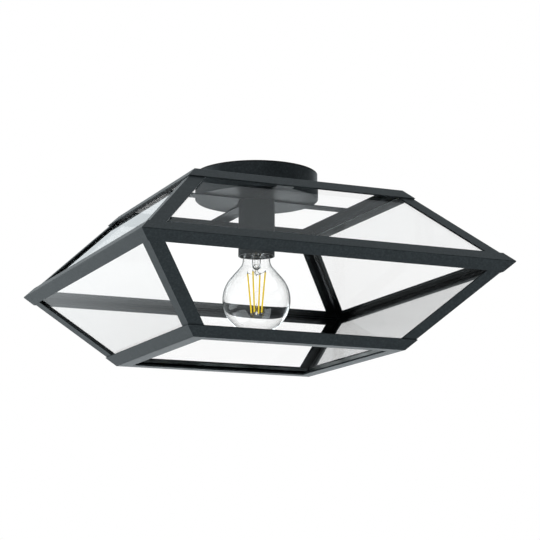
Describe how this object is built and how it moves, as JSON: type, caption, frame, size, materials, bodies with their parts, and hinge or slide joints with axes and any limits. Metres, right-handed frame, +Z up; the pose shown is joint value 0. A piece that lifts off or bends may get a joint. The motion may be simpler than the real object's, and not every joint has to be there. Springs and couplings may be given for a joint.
{
  "type": "porch ceiling lantern",
  "caption": "Faceted square porch lantern of folded steel strips with clear sloping panes, hung under a round canopy round one bare globe bulb.",
  "frame": {"origin": "middle of the ceiling bracket's two slots, in the plane of the ceiling", "axes": "+Z up into the ceiling, -Y the pictured front, +X to its right; X and Y run along the square sides"},
  "size_m": [0.44, 0.44, 0.22],
  "materials": {
    "powder_coat": "fine-textured anthracite powder coat",
    "pane_glass": "clear",
    "glazing_silicone": "matt black",
    "gasket_rubber": "matt",
    "zinc_steel": "zinc plated",
    "black_screw": "black",
    "terminal_plastic": "matt",
    "brass": "plain",
    "lampholder_plastic": "matt black",
    "lampholder_ceramic": "glazed off-white",
    "wire_brown": "satin",
    "wire_blue": "satin",
    "wire_green_yellow": "satin",
    "bulb_glass": "clear",
    "filament_phosphor": "yellow phosphor",
    "nickel_wire": "plain",
    "bulb_cap_metal": "nickel plated",
    "cap_insulator": "glossy black"
  },
  "bodies": {
    "lantern": {"top_rail_front": "powder_coat", "top_rail_right": "powder_coat", "top_rail_back": "powder_coat", "top_rail_left": "powder_coat", "middle_rail_front": "powder_coat", "middle_rail_right": "powder_coat", "middle_rail_back": "powder_coat", "middle_rail_left": "powder_coat", "bottom_rail_front": "powder_coat", "bottom_rail_right": "powder_coat", "bottom_rail_back": "powder_coat", "bottom_rail_left": "powder_coat", "upper_corner_strip_front_right": "powder_coat", "upper_corner_strip_back_right": "powder_coat", "upper_corner_strip_back_left": "powder_coat", "upper_corner_strip_front_left": "powder_coat", "lower_corner_strip_front_right": "powder_coat", "lower_corner_strip_back_right": "powder_coat", "lower_corner_strip_back_left": "powder_coat", "lower_corner_strip_front_left": "powder_coat", "upper_pane_front": "pane_glass", "upper_pane_right": "pane_glass", "upper_pane_back": "pane_glass", "upper_pane_left": "pane_glass", "lower_pane_front": "pane_glass", "lower_pane_right": "pane_glass", "lower_pane_back": "pane_glass", "lower_pane_left": "pane_glass", "upper_glazing_beds": "glazing_silicone", "lower_glazing_beds": "glazing_silicone", "mounting_cross": "powder_coat", "canopy": "powder_coat", "socket_tube": "powder_coat", "ceiling_gasket": "gasket_rubber", "ceiling_bracket": "zinc_steel", "canopy_side_screws": "black_screw", "terminal_block": "terminal_plastic", "terminal_screws": "brass", "terminal_block_screw": "zinc_steel", "hollow_stem": "zinc_steel", "stem_nuts": "zinc_steel", "stem_washers": "zinc_steel", "lampholder_cap": "lampholder_plastic", "lampholder_skirt": "lampholder_plastic", "lampholder_core": "lampholder_ceramic", "lampholder_screw_shell": "brass", "lampholder_centre_contact": "brass", "live_wire": "wire_brown", "neutral_wire": "wire_blue", "earth_wire": "wire_green_yellow", "earth_screw": "brass"},
    "bulb_tip": {"bulb_tip_contact": "bulb_cap_metal"},
    "bulb": {"bulb_globe": "bulb_glass", "bulb_stem_mount": "bulb_glass", "bulb_filaments": "filament_phosphor", "bulb_filament_supports": "nickel_wire", "bulb_screw_cap": "bulb_cap_metal", "bulb_cap_insulator": "cap_insulator"}
  },
  "joints": [
    {"name": "bulb_travel", "type": "slide", "parent": "lantern", "child": "bulb_tip", "axis": [0, 0, -1], "range_m": [0, 0.0236]},
    {"name": "bulb_turn", "type": "hinge", "parent": "bulb_tip", "child": "bulb", "pos_m": [0, 0, -0.08], "axis": [0, 0, -1], "range_deg": [0, 2340]}
  ],
  "couplings": [
    {"joint": "bulb_travel", "follows": "bulb_turn", "m_per_rad": 0.00057757}
  ]
}
